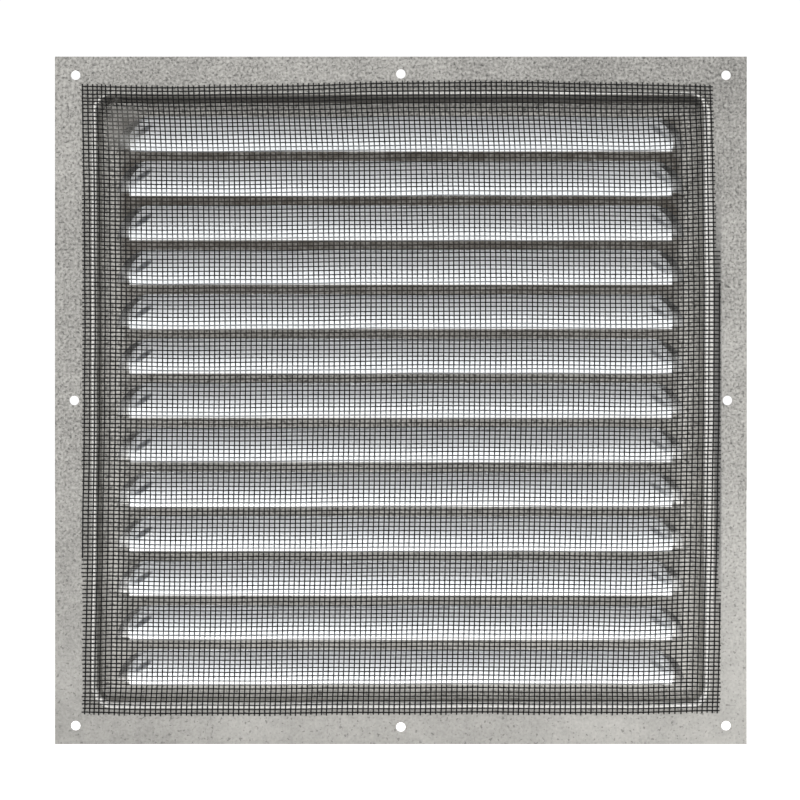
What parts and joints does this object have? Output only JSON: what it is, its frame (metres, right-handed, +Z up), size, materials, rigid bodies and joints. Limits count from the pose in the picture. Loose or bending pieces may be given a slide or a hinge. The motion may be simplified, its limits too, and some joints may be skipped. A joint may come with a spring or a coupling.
{
  "type": "vent cover",
  "caption": "Square louvred vent cover pressed from galvanised sheet, with an insect screen bonded to its back, screwed over a wall or duct opening to let air pass.",
  "frame": {"origin": "centre of the corner holes on the wall face of the flange", "axes": "+Z up, +Y out from the wall towards the louvred front, +X to the right seen from the screened back"},
  "size_m": [0.25, 0.0116, 0.2486],
  "materials": {
    "galvanised_sheet": "dull galvanised, fine mottle",
    "screen_mesh": "black coated thread, plain weave"
  },
  "bodies": {
    "root": {"louvre_plate": "galvanised_sheet", "insect_screen": "screen_mesh"}
  },
  "joints": []
}
